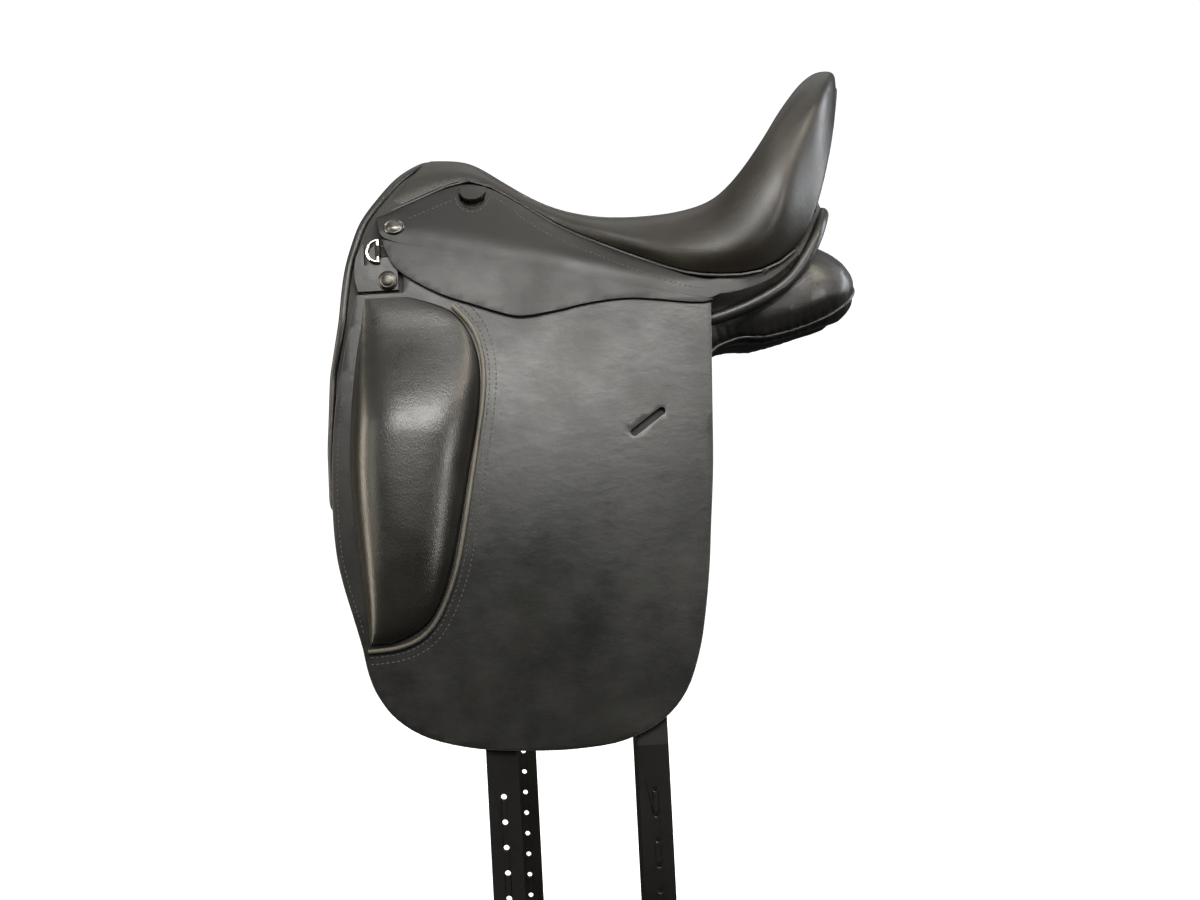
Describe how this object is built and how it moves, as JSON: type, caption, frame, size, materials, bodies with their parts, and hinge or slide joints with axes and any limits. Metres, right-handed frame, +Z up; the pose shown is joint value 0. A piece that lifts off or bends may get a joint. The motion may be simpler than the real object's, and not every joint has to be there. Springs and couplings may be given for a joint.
{
  "type": "english saddle",
  "caption": "Black leather dressage saddle: deep seat with a high cantle, single long flaps with raised knee blocks, lifting skirts, stirrup bars, dee rings and long girth straps.",
  "frame": {"origin": "on the line of the horse's spine, straight under the lowest point of the seat, 85 mm below the seat's top", "axes": "-X to the pommel and the horse's head, +X to the cantle, -Y the near (left) side, +Y the off side, +Z up"},
  "size_m": [0.4889, 0.4168, 0.864],
  "materials": {
    "tree_wood": "satin",
    "plate_steel": "satin",
    "spring_steel": "satin",
    "web": "matte",
    "foam": "matte",
    "wool": "matte",
    "seat_leather": "semi-gloss",
    "lining_leather": "matte",
    "skirt_leather": "satin",
    "flap_leather": "matte",
    "knee_leather": "satin",
    "piping": "satin",
    "panel_leather": "semi-gloss",
    "bar_steel": "satin",
    "chrome": "polished",
    "nail_silver": "polished",
    "stud_bronze": "antique",
    "strap_leather": "matte"
  },
  "bodies": {
    "saddle": {"tree_head": "tree_wood", "tree_rails": "tree_wood", "cantle_board": "tree_wood", "head_plate": "plate_steel", "gullet_plate": "plate_steel", "cantle_plate": "plate_steel", "spring_steels": "spring_steel", "tree_rivets": "plate_steel", "seat_webbing": "web", "girth_webs": "web", "seat_foam": "foam", "seat_cover": "seat_leather", "cantle_back": "seat_leather", "seat_welt": "seat_leather", "rear_roll": "seat_leather", "pommel_roll": "seat_leather", "pommel_facing": "seat_leather", "gullet_lining": "lining_leather", "skirt_top_left": "skirt_leather", "skirt_top_right": "skirt_leather", "panel_top_left": "panel_leather", "panel_top_right": "panel_leather", "panel_base_left": "panel_leather", "panel_base_right": "panel_leather", "flocking_left": "wool", "flocking_right": "wool", "point_pocket_left": "skirt_leather", "point_pocket_right": "skirt_leather", "stirrup_bar_left": "bar_steel", "stirrup_bar_right": "bar_steel", "dee_chapes": "skirt_leather", "nail_heads": "nail_silver", "point_studs": "stud_bronze", "billet_rivets": "plate_steel"},
    "flap_left": {"flap_left": "flap_leather", "knee_foam_left": "foam", "knee_cover_left": "knee_leather", "knee_piping_left": "piping"},
    "skirt_left": {"skirt_left": "skirt_leather"},
    "billet_front_left": {"billet_front_left": "strap_leather"},
    "billet_rear_left": {"billet_rear_left": "strap_leather"},
    "catch_left": {"bar_catch_left": "bar_steel"},
    "dee_left": {"dee_ring_left": "chrome"},
    "flap_right": {"flap_right": "flap_leather", "knee_foam_right": "foam", "knee_cover_right": "knee_leather", "knee_piping_right": "piping"},
    "skirt_right": {"skirt_right": "skirt_leather"},
    "billet_front_right": {"billet_front_right": "strap_leather"},
    "billet_rear_right": {"billet_rear_right": "strap_leather"},
    "catch_right": {"bar_catch_right": "bar_steel"},
    "dee_right": {"dee_ring_right": "chrome"}
  },
  "joints": [
    {"name": "flap_lift_left", "type": "hinge", "parent": "saddle", "child": "flap_left", "pos_m": [-0.09, -0.12855, 0.0277], "axis": [-0.9719, 0.0449, 0.2311], "range_deg": [0, 70]},
    {"name": "skirt_lift_left", "type": "hinge", "parent": "flap_left", "child": "skirt_left", "pos_m": [-0.09, -0.12855, 0.0277], "axis": [-0.9719, 0.0449, 0.2311], "range_deg": [0, 45]},
    {"name": "billet_front_swing_left", "type": "hinge", "parent": "saddle", "child": "billet_front_left", "pos_m": [-0.149, -0.12526, -0.00335], "axis": [0, -0.9816, 0.1908], "range_deg": [-5, 5]},
    {"name": "billet_rear_swing_left", "type": "hinge", "parent": "saddle", "child": "billet_rear_left", "pos_m": [-0.018, -0.12526, -0.00335], "axis": [0, -0.9816, 0.1908], "range_deg": [-5, 5]},
    {"name": "bar_catch_lift_left", "type": "hinge", "parent": "saddle", "child": "catch_left", "pos_m": [-0.10208, -0.1005, 0.01258], "axis": [0, -1, 0], "range_deg": [0, 80]},
    {"name": "dee_swing_left", "type": "hinge", "parent": "saddle", "child": "dee_left", "pos_m": [-0.2415, -0.12395, 0.05294], "axis": [0, 0.1908, 0.9816], "range_deg": [0, 90]},
    {"name": "flap_lift_right", "type": "hinge", "parent": "saddle", "child": "flap_right", "pos_m": [-0.09, 0.12855, 0.0277], "axis": [0.9719, 0.0449, -0.2311], "range_deg": [0, 70]},
    {"name": "skirt_lift_right", "type": "hinge", "parent": "flap_right", "child": "skirt_right", "pos_m": [-0.09, 0.12855, 0.0277], "axis": [0.9719, 0.0449, -0.2311], "range_deg": [0, 45]},
    {"name": "billet_front_swing_right", "type": "hinge", "parent": "saddle", "child": "billet_front_right", "pos_m": [-0.149, 0.12526, -0.00335], "axis": [0, -0.9816, -0.1908], "range_deg": [-5, 5]},
    {"name": "billet_rear_swing_right", "type": "hinge", "parent": "saddle", "child": "billet_rear_right", "pos_m": [-0.018, 0.12526, -0.00335], "axis": [0, -0.9816, -0.1908], "range_deg": [-5, 5]},
    {"name": "bar_catch_lift_right", "type": "hinge", "parent": "saddle", "child": "catch_right", "pos_m": [-0.10208, 0.1005, 0.01258], "axis": [0, -1, 0], "range_deg": [0, 80]},
    {"name": "dee_swing_right", "type": "hinge", "parent": "saddle", "child": "dee_right", "pos_m": [-0.2415, 0.12395, 0.05294], "axis": [0, 0.1908, -0.9816], "range_deg": [0, 90]}
  ]
}
